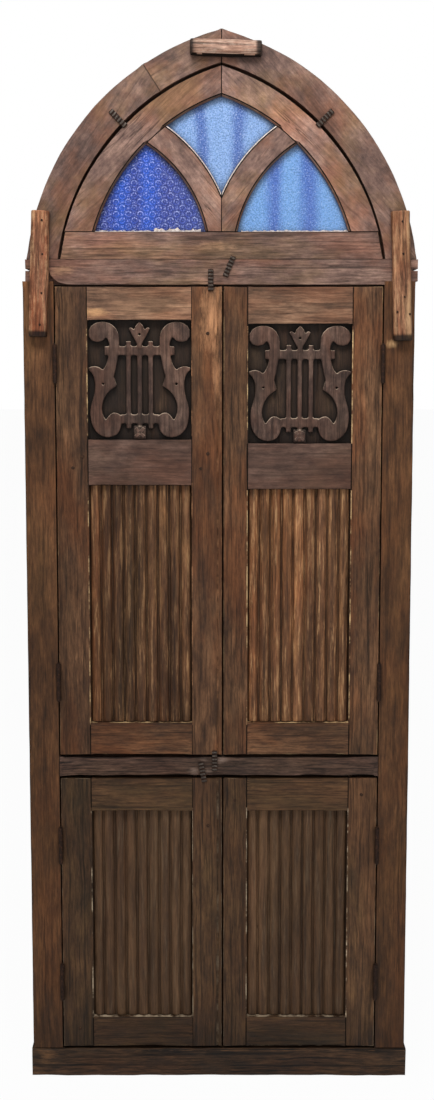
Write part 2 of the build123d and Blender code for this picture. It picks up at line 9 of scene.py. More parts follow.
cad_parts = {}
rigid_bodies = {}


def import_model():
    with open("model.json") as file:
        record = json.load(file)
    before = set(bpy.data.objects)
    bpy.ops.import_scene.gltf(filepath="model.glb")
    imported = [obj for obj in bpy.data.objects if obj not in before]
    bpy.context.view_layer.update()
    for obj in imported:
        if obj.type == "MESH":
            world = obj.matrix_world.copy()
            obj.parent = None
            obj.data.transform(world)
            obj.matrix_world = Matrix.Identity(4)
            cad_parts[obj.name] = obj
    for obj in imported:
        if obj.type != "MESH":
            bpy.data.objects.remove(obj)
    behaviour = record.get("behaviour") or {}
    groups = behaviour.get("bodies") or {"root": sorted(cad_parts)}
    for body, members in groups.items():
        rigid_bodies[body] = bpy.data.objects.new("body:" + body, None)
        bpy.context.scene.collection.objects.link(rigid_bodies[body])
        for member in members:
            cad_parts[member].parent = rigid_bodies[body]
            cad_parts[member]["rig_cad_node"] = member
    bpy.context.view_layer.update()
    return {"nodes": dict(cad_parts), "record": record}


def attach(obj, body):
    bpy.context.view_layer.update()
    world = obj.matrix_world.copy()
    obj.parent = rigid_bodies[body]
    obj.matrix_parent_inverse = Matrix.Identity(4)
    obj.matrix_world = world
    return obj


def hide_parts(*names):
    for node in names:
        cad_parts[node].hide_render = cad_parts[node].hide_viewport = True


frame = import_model()
cad = frame["nodes"]
bodies = frame["record"]["behaviour"]["bodies"]
body_of_node = {name: body for body, names in bodies.items() for name in names}


# Small helpers for colours, nodes and modelling

def colour(code):
    # An sRGB hex value as linear red, green, blue and alpha.
    parts = [int(code[place:place + 2], 16) / 255 for place in (1, 3, 5)]
    linear = [part / 12.92 if part <= 0.04045 else ((part + 0.055) / 1.055) ** 2.4 for part in parts]
    return (*linear, 1.0)


def node(tree, kind, settings=None, inputs=None, ramp=None):
    # One node with its settings, its input values or links, and the stops of its ramp. Another node among
    # the inputs stands for its first output.
    made = tree.nodes.new("ShaderNode" + kind)
    for name, value in (settings or {}).items():
        setattr(made, name, value)
    for name, value in (inputs or {}).items():
        if isinstance(value, bpy.types.Node):
            value = value.outputs[0]
        if isinstance(value, bpy.types.NodeSocket):
            tree.links.new(value, made.inputs[name])
        else:
            made.inputs[name].default_value = value
    if ramp:
        stops = made.color_ramp.elements
        while len(stops) < len(ramp):
            stops.new(1.0)
        for stop, (place, value) in zip(stops, ramp):
            stop.position = place
            stop.color = colour(value) if isinstance(value, str) else (value, value, value, 1.0)
    return made


# Settings that many nodes share
multiply = {"operation": "MULTIPLY"}
multiply_add = {"operation": "MULTIPLY_ADD"}
scaled = {"operation": "SCALE"}
blend = {"data_type": "RGBA"}


def material(name):
    # An empty material, and the function that adds a node to it.
    made = bpy.data.materials.new(name)
    made.use_nodes = True
    made.node_tree.nodes.clear()
    return made, partial(node, made.node_tree)


def activate(piece):
    bpy.ops.object.select_all(action="DESELECT")
    piece.select_set(True)
    bpy.context.view_layer.objects.active = piece


def edit(piece):
    activate(piece)
    bpy.ops.object.mode_set(mode="EDIT")
    bpy.ops.mesh.select_mode(type="EDGE")
    bpy.ops.mesh.select_all(action="SELECT")


def finish_edit():
    bpy.ops.object.mode_set(mode="OBJECT")


def modify(piece, kind, **settings):
    # Adds a modifier with its settings and applies it.
    activate(piece)
    made = piece.modifiers.new(kind.title(), kind)
    for name, value in settings.items():
        setattr(made, name, value)
    bpy.ops.object.modifier_apply(modifier=made.name)


def copy_at(model, place):
    # A copy of a model with a mesh of its own, moved to a place.
    activate(model)
    bpy.ops.object.duplicate()
    made = bpy.context.object
    edit(made)
    bpy.ops.transform.translate(value=place)
    finish_edit()
    return made


def start_cube(name, size):
    # A new cube of this size, left in edit mode to be worked on.
    bpy.ops.object.select_all(action="DESELECT")
    bpy.ops.mesh.primitive_cube_add(size=1.0, location=(0.0, 0.0, 0.0))
    made = bpy.context.object
    made.name = name
    edit(made)
    bpy.ops.transform.resize(value=size)
    return made


def span(name, axis):
    # The low and high end of a solid along X (0), Y (1) or Z (2), to a hundredth of a millimetre.
    places = [vertex.co[axis] for vertex in cad[name].data.vertices]
    return round(min(places), 5), round(max(places), 5)


# Camera, where the photograph was taken from

camera_data = bpy.data.cameras.new("photo_camera")
camera_data.sensor_fit = "VERTICAL"
camera_data.sensor_height = 36.0
camera_data.lens = 50.14
camera = bpy.data.objects.new("photo_camera", camera_data)
camera.location = (-0.0044, -3.6475, 1.7346)
camera_tilt = 6.81
camera.rotation_euler = (radians(90.0 - camera_tilt), 0.0, 0.0)
bpy.context.scene.collection.objects.link(camera)
bpy.context.scene.camera = camera
bpy.context.scene.view_settings.view_transform = "Standard"


# Floor, white surround and soft light from above and in front

bpy.ops.object.select_all(action="DESELECT")
bpy.ops.mesh.primitive_plane_add(size=120.0, location=(0.0, 0.0, -0.0005))
floor = bpy.context.object
floor.name = "floor"
floor_paint, add = material("white_floor")
path = add("LightPath")
seen = add("Math", {"operation": "MAXIMUM"}, {
    0: path.outputs["Is Camera Ray"], 1: path.outputs["Is Transmission Ray"]})
seen = add("Math", {"operation": "MAXIMUM"}, {0: seen, 1: path.outputs["Is Glossy Ray"]})
share = add("Math", multiply, {0: seen, 1: 0.96})
paint = add("BsdfDiffuse", inputs={"Color": colour("#f6f6f6")})
glow = add("Emission", inputs={"Color": (1.0, 1.0, 1.0, 1.0), "Strength": 1.0})
both = add("MixShader", inputs={"Fac": share, 1: paint, 2: glow})
add("OutputMaterial", inputs={"Surface": both})
floor.data.materials.append(floor_paint)

world = bpy.data.worlds.new("white_surround")
bpy.context.scene.world = world
world.use_nodes = True
world.node_tree.nodes.clear()
add = partial(node, world.node_tree)
path = add("LightPath")
seen = add("Math", {"operation": "MAXIMUM"}, {
    0: path.outputs["Is Camera Ray"], 1: path.outputs["Is Transmission Ray"]})
strength = add("MapRange", inputs={"Value": seen, "To Min": 0.30, "To Max": 1.0})
surround = add("Background", inputs={"Color": (1.0, 1.0, 1.0, 1.0), "Strength": strength})
add("OutputWorld", inputs={"Surface": surround})


def lamp(name, place, target, size, power):
    # A rectangular softbox at a place, turned to a target.
    data = bpy.data.lights.new(name, "AREA")
    data.shape = "RECTANGLE"
    data.size, data.size_y = size
    data.energy = power
    made = bpy.data.objects.new(name, data)
    made.location = place
    made.rotation_euler = (Vector(target) - Vector(place)).to_track_quat("-Z", "Y").to_euler()
    bpy.context.scene.collection.objects.link(made)


lamp("high_front_softbox", (-0.35, -1.7, 4.0), (0.0, 0.0, 1.9), (1.6, 1.0), 66.0)
lamp("front_softbox", (0.9, -4.2, 1.9), (0.0, 0.0, 1.2), (2.2, 2.2), 25.0)


# Materials

# Near black, for grime in the joints, drying cracks and painted shade
black_dirt = "#140c07"


def weathered_wood(name, dark, middle, light, ruddy, olive, worn_and_highlight, rubbed=0.0, arris_darkening=0.0, scuffed=0.0, damp=0.0,
                   painted_rim_light=0.0, bare=(), dirt=0.7, reach=0.011, settle=0.75, stretch=0.3, grainy=1.0):
    # Old softwood, planed by hand, oiled and left to the weather: smoky blotches that turn ruddy and
    # olive, fine fibres along each board, dirt and painted shade in the corners, drying cracks, bare wood
    # where rubbed.
    made, add = material(name)
    place = add("TexCoord")
    grain = add("Attribute", {"attribute_name": "grain"})
    tone = add("Attribute", {"attribute_name": "tone"})
    # Slow wander of the fibres.
    drift = add("TexNoise", inputs={"Vector": grain.outputs["Vector"], "Scale": 1 / 0.16, "Detail": 2.0})
    drift = add("VectorMath", multiply_add, {
        0: drift.outputs["Color"], 1: (0.012, 0.012, 0.0), 2: grain.outputs["Vector"]})
    # Fibres 5 mm across, drawn coarser than real ones so that they show, and dark growth lines 7 mm apart.
    long = add("VectorMath", multiply, {0: drift, 1: (1.0, 1.0, 0.07)})
    fibre = add("TexNoise", inputs={"Vector": long, "Scale": 1 / 0.005, "Detail": 5.0, "Roughness": 0.8})
    longer = add("VectorMath", multiply, {0: drift, 1: (1.0, 1.0, 0.018)})
    line = add("TexNoise", inputs={"Vector": longer, "Scale": 1 / 0.007, "Detail": 2.0})
    # Smoky blotches 22 mm across and stains a hand wide, both drawn out along the board.
    short = add("VectorMath", multiply, {0: grain.outputs["Vector"], 1: (1.0, 1.0, stretch)})
    blotch = add("TexNoise", inputs={"Vector": short, "Scale": 1 / 0.022, "Detail": 8.0, "Roughness": 0.75})
    stain = add("TexNoise", inputs={"Vector": short, "Scale": 1 / 0.10, "Detail": 5.0, "Roughness": 0.62})
    hue = add("SeparateColor", inputs={"Color": stain.outputs["Color"]})
    cloud = add("Mix", {"data_type": "FLOAT"}, {"Factor": 0.35, 2: blotch, 3: stain})
    base = add("ValToRGB", inputs={"Fac": cloud}, ramp=((0.33, dark), (0.50, middle), (0.70, light)))
    warm = add("MapRange", inputs={
        "Value": hue.outputs["Green"], "From Min": 0.46, "From Max": 0.62, "To Max": 0.62})
    green = add("MapRange", inputs={
        "Value": hue.outputs["Blue"], "From Min": 0.48, "From Max": 0.66, "To Max": 0.4})
    for factor, code in ((warm, ruddy), (green, olive)):
        base = add("Mix", blend, {"Factor": factor, 6: base, 7: colour(code)}).outputs[2]
    thread = add("MapRange", inputs={
        "Value": fibre, "From Min": 0.36, "From Max": 0.64,
        "To Min": 1.0 - 0.38 * grainy, "To Max": 1.0 + 0.38 * grainy})
    growth = add("MapRange", inputs={
        "Value": line, "From Min": 0.36, "From Max": 0.45, "To Min": 1.04 - 0.38 * grainy, "To Max": 1.04})
    smoke = add("MapRange", inputs={
        "Value": blotch, "From Min": 0.34, "From Max": 0.66, "To Min": 0.80, "To Max": 1.20})
    soak = add("MapRange", inputs={
        "Value": stain, "From Min": 0.36, "From Max": 0.64, "To Min": 0.78, "To Max": 1.22})
    shades = [growth, smoke, soak]
    if damp:
        # Damp that has crept up from the floor.
        height = add("SeparateXYZ", inputs={"Vector": place.outputs["Object"]})
        creep = add("Math", multiply_add, {0: blotch, 1: -0.12, 2: height.outputs["Z"]})
        creep = add("MapRange", inputs={
            "Value": creep, "From Min": 0.02, "From Max": 0.17, "To Min": 1.0 - damp, "To Max": 1.0})
        shades.append(creep)
    shade = thread
    for part in shades:
        shade = add("Math", multiply, {0: shade, 1: part})
    base = add("VectorMath", scaled, {0: base, "Scale": shade})
    # Colours laid over the base, each as far as its factor says.
    layers = []
    if rubbed:
        # An arris rubbed pale, broken up so that it comes and goes.
        rub = add("TexNoise", inputs={
            "Vector": grain.outputs["Vector"], "Scale": 1 / 0.06, "Detail": 6.0, "Roughness": 0.75})
        rub = add("MapRange", inputs={"Value": rub, "From Min": 0.48, "From Max": 0.68, "To Max": rubbed})
        layers.append((rub, worn_and_highlight))
    if painted_rim_light:
        # Painted light on carvings: edges that look up get a painted highlight in the pale colour, broken up,
        # and the flanks that don't look up get painted shade in near black.
        facing = add("SeparateXYZ", inputs={"Vector": place.outputs["Normal"]})
        edge = add("MapRange", inputs={
            "Value": facing.outputs["Y"], "From Min": -0.92, "From Max": -0.60, "To Max": painted_rim_light})
        over = add("MapRange", inputs={"Value": facing.outputs["Z"], "From Min": 0.10, "From Max": 0.50})
        rim = add("Math", multiply, {0: edge, 1: over})
        patchy = add("MapRange", inputs={
            "Value": blotch, "From Min": 0.38, "From Max": 0.58, "To Min": 0.2})
        rim = add("Math", multiply, {0: rim, 1: patchy})
        layers.append((rim, worn_and_highlight))
        flank = add("MapRange", inputs={
            "Value": facing.outputs["Y"], "From Min": -0.80, "From Max": -0.35, "To Max": 0.9})
        under = add("MapRange", inputs={"Value": facing.outputs["Z"], "From Min": 0.45, "From Max": 0.10})
        underside_shade = add("Math", multiply, {0: flank, 1: under})
        layers.append((underside_shade, black_dirt))
    if scuffed:
        # Scuffs along the fibres, down to pale wood, and soiled streaks between them.
        scuff = add("VectorMath", multiply, {0: grain.outputs["Vector"], 1: (1.0, 1.0, 0.06)})
        scuffs = add("TexNoise", inputs={
            "Vector": scuff, "Scale": 1 / 0.006, "Detail": 8.0, "Roughness": 0.75})
        patchy = add("MapRange", inputs={
            "Value": blotch, "From Min": 0.42, "From Max": 0.56, "To Min": 0.1, "To Max": scuffed})
        scuff = add("MapRange", inputs={
            "Value": scuffs, "From Min": 0.53, "From Max": 0.59, "To Max": patchy})
        layers.append((scuff, worn_and_highlight))
        soiled = add("MapRange", inputs={
            "Value": scuffs, "From Min": 0.47, "From Max": 0.40, "To Max": scuffed})
        layers.append((soiled, dark))
    for x, z, half_x, half_z in bare:
        # A patch of bare wood with a ragged edge.
        patch = add("VectorMath", {"operation": "SUBTRACT"}, {0: place.outputs["Object"], 1: (x, 0.0, z)})
        patch = add("VectorMath", multiply, {0: patch, 1: (1 / half_x, 0.0, 1 / half_z)})
        patch = add("VectorMath", {"operation": "LENGTH"}, {0: patch})
        patch = add("Math", multiply_add, {0: blotch, 1: -3.0, 2: patch.outputs["Value"]})
        patch = add("MapRange", inputs={"Value": patch, "From Min": -0.55, "From Max": -1.5, "To Max": 0.7})
        patch = add("Math", multiply, {0: patch, 1: thread})
        layers.append((patch, worn_and_highlight))
    for factor, code in layers:
        base = add("Mix", blend, {"Factor": factor, 6: base, 7: colour(code)}).outputs[2]
    # The board's own shade, and darker on the arrises of the arch and the fanlight.
    own = add("Math", multiply, {0: tone.outputs["Fac"], 1: 1.0 - arris_darkening})
    base = add("VectorMath", scaled, {0: base, "Scale": own})
    # Dirt and painted shade in the corners: darker where the surface is occluded.
    corner = add("AmbientOcclusion", {"samples": 6}, {"Distance": reach})
    settled = add("MapRange", inputs={
        "Value": corner.outputs["AO"], "From Min": settle, "From Max": settle - 0.5, "To Max": dirt})
    # Drying cracks, a millimetre or two wide and long along the fibres.
    split = add("TexNoise", inputs={"Vector": longer, "Scale": 1 / 0.026, "Detail": 2.0})
    crack = add("ValToRGB", inputs={"Fac": split}, ramp=((0.405, 0.0), (0.412, 1.0), (0.419, 0.0)))
    where = add("MapRange", inputs={
        "Value": hue.outputs["Red"], "From Min": 0.50, "From Max": 0.60, "To Max": 0.8})
    crack = add("Math", multiply, {0: crack, 1: where})
    for factor in (settled, crack):
        base = add("Mix", blend, {"Factor": factor, 6: base, 7: colour(black_dirt)}).outputs[2]
    rough = add("MapRange", inputs={
        "Value": blotch, "From Min": 0.3, "From Max": 0.7, "To Min": 0.48, "To Max": 0.76})
    height = add("Math", multiply_add, {0: crack, 1: -1.6, 2: fibre})
    height = add("Math", multiply_add, {0: blotch, 1: 1.2, 2: height})
    bump = add("Bump", inputs={"Height": height, "Strength": 0.6, "Distance": 0.002})
    shader = add("BsdfPrincipled", inputs={
        "Base Color": base, "Roughness": rough, "Normal": bump, "Specular IOR Level": 0.22})
    add("OutputMaterial", inputs={"Surface": shader})
    return made


def wood_set(name, *tints, rubbed=0.6, arris_darkening=0.0, **more):
    # The wood of a board's faces, of its arrises, rubbed pale and some darkened, and of its chipped edges,
    # which also give the painted highlight on ledges.
    face = weathered_wood(name, *tints, **more)
    arris = weathered_wood(name + "_arris", *tints, rubbed=rubbed, arris_darkening=arris_darkening, **more)
    chipped_and_lit = weathered_wood(name + "_chipped_and_lit", *tints, rubbed=1.6, **{**more, "dirt": 0.1})
    return face, arris, chipped_and_lit


# Dark, middle and light wood, its ruddy and olive stains, and what shows where it is worn, which on the
# carving is also the painted highlight. Bare patches are given by the place of their middle and their half
# width and half height, in metres.
arch_tints = ("#5a4640", "#7b6056", "#9c7e6e", "#85563f", "#86683f", "#c2a288")
transom_tints = ("#5a453d", "#775d53", "#957969", "#805442", "#836741", "#b98f6c")
jamb_tints = ("#3b2617", "#543722", "#6d4b30", "#5f3a21", "#5a4025", "#bb9468")
top_rail_tints = ("#5b4334", "#7a5b47", "#98765d", "#83533a", "#7d6248", "#c09468")
lock_tints = ("#43302a", "#5c453b", "#72594d", "#644233", "#5d4a39", "#b8a090")
leaf_tints = ("#3d2a20", "#5d402c", "#7b593f", "#6e4024", "#614730", "#dcb886")
reed_tints = ("#432d1e", "#694730", "#86603d", "#7c4a2b", "#664b2f", "#cb9e70")
carving_tints = ("#352721", "#4f3c34", "#70594d", "#5c3e31", "#534338", "#cdb49c")
lower_tints = ("#3b2a1c", "#503825", "#644a31", "#563925", "#514028", "#c8b295")
lower_reed_tints = ("#402d20", "#573f2b", "#6a503a", "#5b3f2b", "#56432d", "#b09a7c")
sill_tints = ("#281c13", "#39281b", "#4d3827", "#40291a", "#3c2d1c", "#7a5638")
middle_tints = ("#392a23", "#4d3a31", "#604b41", "#53382b", "#50402f", "#9a8274")
top_cleat_tints = ("#674535", "#a07a68", "#cdaa96", "#a06a4e", "#a08060", "#ecd3bd")
board_tints = ("#2c201b", "#463429", "#6c543f", "#503628", "#574533", "#a98a5c")
cleat_tints = ("#4d2e1d", "#885840", "#bd8c68", "#95502f", "#8b6240", "#dcb084")

arch_wood = wood_set("greyed_arch_pine", *arch_tints, rubbed=0.4, arris_darkening=0.4, grainy=0.6, stretch=0.7)
tracery_wood = wood_set("greyed_tracery_pine", *arch_tints, rubbed=0.5, arris_darkening=0.35, grainy=0.6, stretch=0.7)
transom_wood = wood_set("greyed_transom_pine", *transom_tints, stretch=0.4, grainy=1.2,
                        bare=((-0.365, 1.957, 0.040, 0.014), (0.0, 2.012, 0.05, 0.012)))
jamb_wood = wood_set("oiled_jamb_pine", *jamb_tints, damp=0.35, bare=((0.407, 1.788, 0.016, 0.012),))
leaf_wood = wood_set("oiled_leaf_pine", *leaf_tints, rubbed=0.45, grainy=1.3)
head_wood = wood_set("greyed_top_rail_pine", *top_rail_tints, bare=((-0.29, 1.862, 0.05, 0.012),))
lock_wood = wood_set("greyed_lock_rail_pine", *lock_tints, grainy=0.7, stretch=0.4)
seam_wood = wood_set("rubbed_seam_pine", *leaf_tints[:5], "#d49a6e",
                     bare=((-0.016, 1.856, 0.032, 0.095), (-0.004, 1.72, 0.012, 0.11)))
reed_wood = wood_set("rubbed_reed_pine", *reed_tints, scuffed=0.5, dirt=0.8, reach=0.006, settle=0.88,
                     stretch=0.16, grainy=1.2)
carving_wood = weathered_wood("carved_limewood", *carving_tints, painted_rim_light=1.0, reach=0.02, stretch=0.6)
board_wood = wood_set("sooty_carving_board", *board_tints, dirt=0.97, reach=0.035, settle=0.98)
lower_wood = wood_set("dark_lower_pine", *lower_tints, rubbed=0.4, damp=0.5, grainy=1.3)
lower_reed_wood = wood_set("dark_reed_pine", *lower_reed_tints, damp=0.3, scuffed=0.06, dirt=0.5, reach=0.006,
                           settle=0.85, stretch=0.1, grainy=0.8)
sill_wood = wood_set("damp_sill_pine", *sill_tints, bare=((-0.42, 0.052, 0.035, 0.022),), grainy=2.0)
middle_wood = wood_set("dark_transom_pine", *middle_tints, grainy=1.9,
                       bare=((-0.060, 0.768, 0.018, 0.012), (-0.026, 0.768, 0.018, 0.010),
                             (-0.036, 0.796, 0.016, 0.010), (0.006, 0.795, 0.016, 0.012)))
cleat_wood = wood_set("bare_cleat_pine", *cleat_tints, scuffed=0.5, grainy=1.4,
                      bare=((0.440, 1.86, 0.012, 0.09),))
top_cleat_wood = wood_set("bleached_cleat_pine", *top_cleat_tints, scuffed=0.5, grainy=1.4)


def plain_finish(name, dark, middle, light, grit, roughness, metallic=0.0):
    # A finish of three tones in grains of one size.
    made, add = material(name)
    place = add("TexCoord")
    grain = add("TexNoise", inputs={
        "Vector": place.outputs["Object"], "Scale": 1 / grit, "Detail": 6.0, "Roughness": 0.7})
    paint = add("ValToRGB", inputs={"Fac": grain}, ramp=((0.30, dark), (0.52, middle), (0.72, light)))
    bump = add("Bump", inputs={"Height": grain, "Strength": 0.5, "Distance": 0.0006})
    shader = add("BsdfPrincipled", inputs={
        "Base Color": paint, "Normal": bump, "Roughness": roughness, "Metallic": metallic,
        "Specular IOR Level": 0.2})
    add("OutputMaterial", inputs={"Surface": shader})
    return made


# Wrought iron left bare: near black scale with brown rust, and a dull glint where it is rubbed
iron = plain_finish("rusted_wrought_iron", "#1a100a", "#2e1e16", "#553521", 0.006, 0.7, 0.1)
rubbed_iron = plain_finish("rubbed_wrought_iron", "#2a221d", "#4f463f", "#7b7067", 0.004, 0.5, 0.4)
# Linseed putty gone hard: chalky, pinkish, grubby
putty = plain_finish("hard_linseed_putty", "#8f7f78", "#ddd0c9", "#fff8f3", 0.005, 0.85)
# Grime packed into the joints of the boards, which draws them as dark lines; the same near black is painted
# shade on the undersides of the cleats and in the grooves of the fanlight
grime_and_shade = plain_finish("packed_joint_grime_and_painted_shade", "#0c0704", "#170e08", "#24170e", 0.01, 0.9)
# Oak pegs, darker than the pine round them
peg_oak = plain_finish("dark_oak_peg", "#231710", "#3a2619", "#6e4f38", 0.004, 0.7)


def cast_glass(name, ground, ribbon, glint, ribbons, scales):
    # Coloured cast glass. The colour changes in upright ribbons where the sheet was drawn, and the
    # pressed face is patterned, with painted glints: rings like fish scales 28 mm apart on one pane, a fine
    # stipple on the others.
    made, add = material(name)
    place = add("TexCoord")
    across = add("SeparateXYZ", inputs={"Vector": place.outputs["Object"]})
    fold = add("Mapping", inputs={"Vector": place.outputs["Object"], "Scale": (1.0, 1.0, 0.25)})
    fold = add("TexNoise", inputs={"Vector": fold, "Scale": 1 / 0.03, "Detail": 3.0})
    sway_reach = 0.030
    sway = add("Math", multiply_add, {0: fold, 1: sway_reach, 2: across.outputs["X"]})
    tint = colour(ground)
    for x, width in ribbons:
        # The sway moves every ribbon by half its reach, which the ribbon's place allows for.
        far = add("Math", {"operation": "SUBTRACT"}, {0: sway, 1: x + sway_reach / 2})
        far = add("Math", {"operation": "ABSOLUTE"}, {0: far})
        near = add("MapRange", {"interpolation_type": "SMOOTHSTEP"}, {
            "Value": far, "From Min": width, "From Max": 0.0, "To Max": 0.85})
        tint = add("Mix", blend, {"Factor": near, 6: tint, 7: colour(ribbon)}).outputs[2]
    stipple = add("TexNoise", inputs={
        "Vector": place.outputs["Object"], "Scale": 1 / 0.0032, "Detail": 2.0, "Roughness": 0.6})
    glint_fleck = add("MapRange", inputs={"Value": stipple, "From Min": 0.53, "From Max": 0.74, "To Max": 0.60})
    grit = add("MapRange", inputs={
        "Value": stipple, "From Min": 0.36, "From Max": 0.53, "To Min": 0.58, "To Max": 1.03})
    if scales:
        # The scales lie in diagonal rows, so their square grid is turned. Their rings show on the upper half.
        turn = radians(45.0)
        turned = add("Mapping", inputs={"Vector": place.outputs["Object"], "Rotation": (0.0, turn, 0.0)})
        flat = add("VectorMath", multiply, {0: turned, 1: (1.0, 0.0, 1.0)})
        scale = add("TexVoronoi", {"feature": "F1"}, {
            "Vector": flat, "Scale": 1 / 0.0198, "Randomness": 0.0})
        ring = add("Math", multiply, {0: scale, 1: 6.4 * pi})
        ring = add("Math", {"operation": "COSINE"}, {0: ring})
        own = add("VectorMath", {"operation": "SUBTRACT"}, {0: flat, 1: scale.outputs["Position"]})
        rise = add("VectorMath", {"operation": "DOT_PRODUCT"}, {0: own, 1: (sin(turn), 0.0, cos(turn))})
        upper = add("MapRange", inputs={
            "Value": rise.outputs["Value"], "From Min": -0.002, "From Max": 0.003, "To Max": 1.1})
        trough = add("MapRange", inputs={
            "Value": ring, "From Min": 0.0, "From Max": -1.0, "To Min": 1.05, "To Max": 0.55})
        grit = add("Math", multiply, {0: grit, 1: trough})
        ring = add("MapRange", inputs={"Value": ring, "From Min": 0.3, "From Max": 1.0, "To Max": upper})
        sparkle = add("MapRange", inputs={
            "Value": stipple, "From Min": 0.42, "From Max": 0.62, "To Min": 0.1, "To Max": 1.0})
        glint_fleck = add("Math", {"operation": "MULTIPLY_ADD", "use_clamp": True}, {
            0: ring, 1: sparkle, 2: glint_fleck})
    # Grime and painted shade along the edges: darker where the wood occludes the glass.
    corner = add("AmbientOcclusion", {"samples": 6}, {"Distance": 0.02})
    edge = add("MapRange", inputs={
        "Value": corner.outputs["AO"], "From Min": 0.45, "From Max": 0.85, "To Min": 0.35, "To Max": 1.0})
    level = add("Math", multiply, {0: grit, 1: edge})
    # Painted glints: the glint colour laid over the flecks and the rings.
    tint = add("Mix", blend, {"Factor": glint_fleck, 6: tint, 7: colour(glint)}).outputs[2]
    tint = add("VectorMath", scaled, {0: tint, "Scale": level})
    bump = add("Bump", inputs={"Height": glint_fleck, "Strength": 0.5, "Distance": 0.0015})
    shader = add("BsdfPrincipled", inputs={
        "Base Color": tint, "Normal": bump, "Roughness": 0.22, "Transmission Weight": 0.3, "IOR": 1.5})
    add("OutputMaterial", inputs={"Surface": shader})
    return made


# Each pane's ground, ribbons and painted glint colour, and where its ribbons run and how wide they are, in
# metres
cobalt = cast_glass("cobalt_scale_glass", "#3650c0", "#1c6cff", "#bccbfb",
                    ((-0.225, 0.034), (-0.162, 0.038)), True)
pale_blue = cast_glass("pale_blue_cast_glass", "#94c0ff", "#456fcc", "#deecfe",
                       ((-0.040, 0.024), (0.045, 0.026)), False)
azure = cast_glass("azure_cast_glass", "#7cb8ff", "#3567d2", "#d2e6ff",
                   ((0.127, 0.030), (0.208, 0.036)), False)


# Timber: each board is a merged copy of its solid, with worn arrises and wandering edges

smooth_angle = radians(40.0)
wander = bpy.data.textures.new("board_wander", "CLOUDS")
wander.noise_scale = 0.07
wander.noise_depth = 3

# A board's finishes by slot, after its faces, which have slot 0
arris_slot, chipped_and_lit_slot, grime_and_shade_slot, putty_slot = 1, 2, 3, 4
# How wide the joints of a stile and of any other board show, in metres
stile_joint, plain_joint = 0.0018, 0.0012

dressed = []


def lies_on(planes, spot, reach=0.0006):
    # Whether a place lies on one of the joint planes, each given by its X and Z parts and its distance.
    return any(abs(x * spot.x + z * spot.z - far) < reach for x, z, far in planes)


def copy_of(name, paints):
    # A merged copy of a solid, with its finishes in slots and no finish yet chosen for any face.
    activate(cad[name])
    bpy.ops.object.duplicate()
    piece = bpy.context.object
    piece.name = name + "_dressed"
    del piece["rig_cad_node"]
    bpy.ops.object.parent_clear(type="CLEAR")
    piece.data.materials.clear()
    for paint in paints:
        piece.data.materials.append(paint)
    edit(piece)
    bpy.ops.mesh.customdata_custom_splitnormals_clear()
    bpy.ops.mesh.remove_doubles(threshold=0.00002)
    bpy.ops.mesh.dissolve_limited(angle_limit=radians(0.5))
    finish_edit()
    return piece


def stand_in(piece, name):
    # The piece rides with the solid's body and takes the solid's place.
    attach(piece, body_of_node[name])
    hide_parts(name)


def lay_grain(piece, angle, tone):
    # Writes where each point lies along the fibres, which differs from board to board, and its shade, which
    # is one factor for the board or is worked out from the place.
    dressed.append(piece.name)
    own = len(dressed)
    turn = Matrix.Rotation(radians(angle - 90.0), 4, "Y")
    shift = Vector((own * 0.37, own * 0.73, own * 1.19))
    mesh = piece.data
    mesh.attributes.new("grain", "FLOAT_VECTOR", "POINT")
    mesh.attributes.new("tone", "FLOAT", "POINT")
    places = [part for vertex in mesh.vertices for part in turn @ vertex.co + shift]
    mesh.attributes["grain"].data.foreach_set("vector", places)
    tones = [tone(vertex.co) if callable(tone) else tone for vertex in mesh.vertices]
    mesh.attributes["tone"].data.foreach_set("value", tones)


def select_arrises(piece, touches, at_joints):
    # Selects the sharp edges that touch another board, or those that don't.
    bpy.ops.mesh.select_all(action="DESELECT")
    bpy.ops.mesh.edges_select_sharp(sharpness=radians(35.0))
    shape = bmesh.from_edit_mesh(piece.data)
    for edge in shape.edges:
        if edge.select and all(touches(corner.co) for corner in edge.verts) != at_joints:
            edge.select_set(False)
    shape.select_flush_mode()
    bmesh.update_edit_mesh(piece.data)


